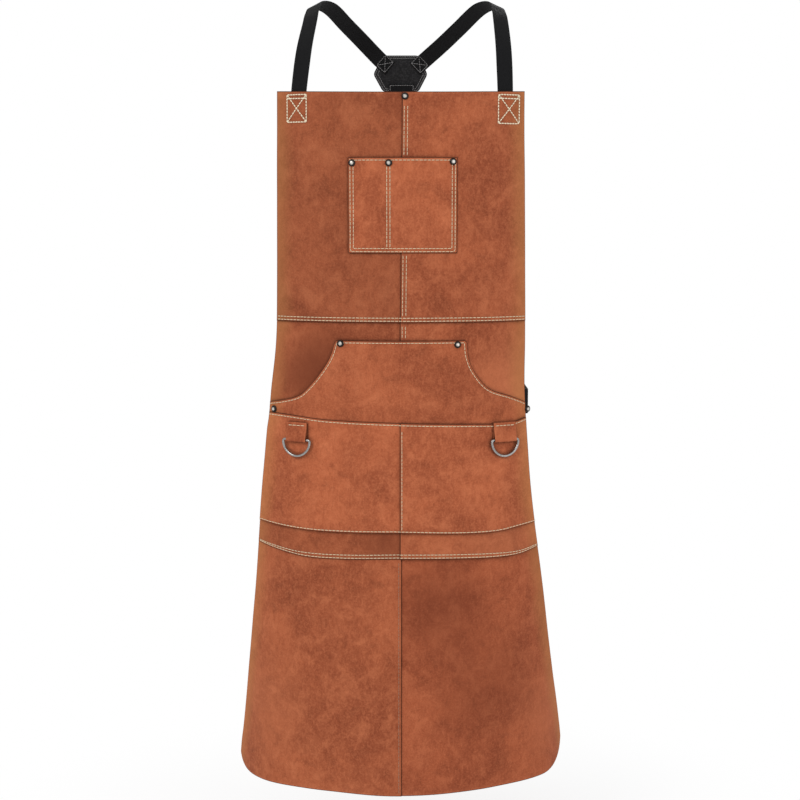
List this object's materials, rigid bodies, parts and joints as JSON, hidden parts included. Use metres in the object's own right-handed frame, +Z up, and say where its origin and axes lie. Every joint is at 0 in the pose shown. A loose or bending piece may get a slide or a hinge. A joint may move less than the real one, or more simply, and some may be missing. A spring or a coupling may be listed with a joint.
{
  "type": "welding apron",
  "caption": "Leather bib apron with pockets, hanging tool rings, crossed webbing harness, buckled waist belt and a skirt that swings forward.",
  "frame": {"origin": "on the wearer's vertical axis, at the height of the hem", "axes": "+Z up, the front of the apron faces -Y, +X to the right seen from the front (the wearer's left)"},
  "size_m": [0.5084, 0.2953, 1.2125],
  "materials": {
    "leather_left": "suede split cowhide",
    "leather_right": "suede split cowhide",
    "leather_dark": "suede split cowhide",
    "patch_leather": "smooth black leather",
    "webbing": "woven webbing",
    "buckle_plastic": "moulded acetal",
    "ring_steel": "nickel-plated wire",
    "rivet_metal": "antique brass"
  },
  "bodies": {
    "apron": {"bib_panel_left": "leather_left", "bib_panel_right": "leather_right", "waist_panel_left": "leather_left", "waist_panel_right": "leather_right", "lap_panel_left": "leather_left", "lap_panel_right": "leather_right", "chest_pocket": "leather_left", "kangaroo_pocket": "leather_left", "ring_tab_left": "leather_dark", "ring_tab_right": "leather_dark", "shoulder_strap_left": "webbing", "shoulder_strap_right": "webbing", "back_patch": "patch_leather", "tail_strap": "webbing", "waist_belt_left": "webbing", "waist_belt_right": "webbing", "belt_socket": "buckle_plastic", "rivet_caps": "rivet_metal", "rivet_studs": "rivet_metal"},
    "skirt": {"skirt_panel_left": "leather_left", "skirt_panel_right": "leather_dark"},
    "left_ring": {"tool_ring_left": "ring_steel"},
    "right_ring": {"tool_ring_right": "ring_steel"},
    "tail_adjuster": {"tail_slider": "buckle_plastic"},
    "belt_adjuster": {"belt_slider": "buckle_plastic"},
    "plug": {"belt_plug": "buckle_plastic"},
    "upper_arm": {"plug_arm_upper": "buckle_plastic"},
    "lower_arm": {"plug_arm_lower": "buckle_plastic"}
  },
  "joints": [
    {"name": "skirt_swing", "type": "hinge", "parent": "apron", "child": "skirt", "pos_m": [0, -0.14, 0.375], "axis": [-1, 0, 0], "range_deg": [0, 40], "stiffness_Nm_per_rad": 0.3},
    {"name": "left_ring_swing", "type": "hinge", "parent": "apron", "child": "left_ring", "pos_m": [-0.15751, -0.11891, 0.551], "axis": [-0.8892, 0.4575, 0], "range_deg": [0, 120]},
    {"name": "right_ring_swing", "type": "hinge", "parent": "apron", "child": "right_ring", "pos_m": [0.15751, -0.11891, 0.551], "axis": [-0.8892, -0.4575, 0], "range_deg": [0, 120]},
    {"name": "tail_adjust", "type": "slide", "parent": "apron", "child": "tail_adjuster", "axis": [0, 0, 1], "range_m": [-0.02, 0.035]},
    {"name": "belt_adjust", "type": "slide", "parent": "apron", "child": "belt_adjuster", "axis": [1, 0, 0], "range_m": [-0.03, 0.04]},
    {"name": "plug_release", "type": "slide", "parent": "apron", "child": "plug", "axis": [-1, 0, 0], "range_m": [0, 0.034], "deforming": ["waist_belt_left", "plug_arm_upper", "plug_arm_lower"]},
    {"name": "upper_arm_pinch", "type": "hinge", "parent": "plug", "child": "upper_arm", "pos_m": [-0.092, 0.1401, 0.6195], "axis": [0, 1, 0], "range_deg": [0, 10], "stiffness_Nm_per_rad": 0.5},
    {"name": "lower_arm_pinch", "type": "hinge", "parent": "plug", "child": "lower_arm", "pos_m": [-0.092, 0.1401, 0.5905], "axis": [0, 1, 0], "range_deg": [-10, 0], "stiffness_Nm_per_rad": 0.5}
  ],
  "couplings": [
    {"joint": "lower_arm_pinch", "follows": "upper_arm_pinch", "ratio": -1}
  ]
}
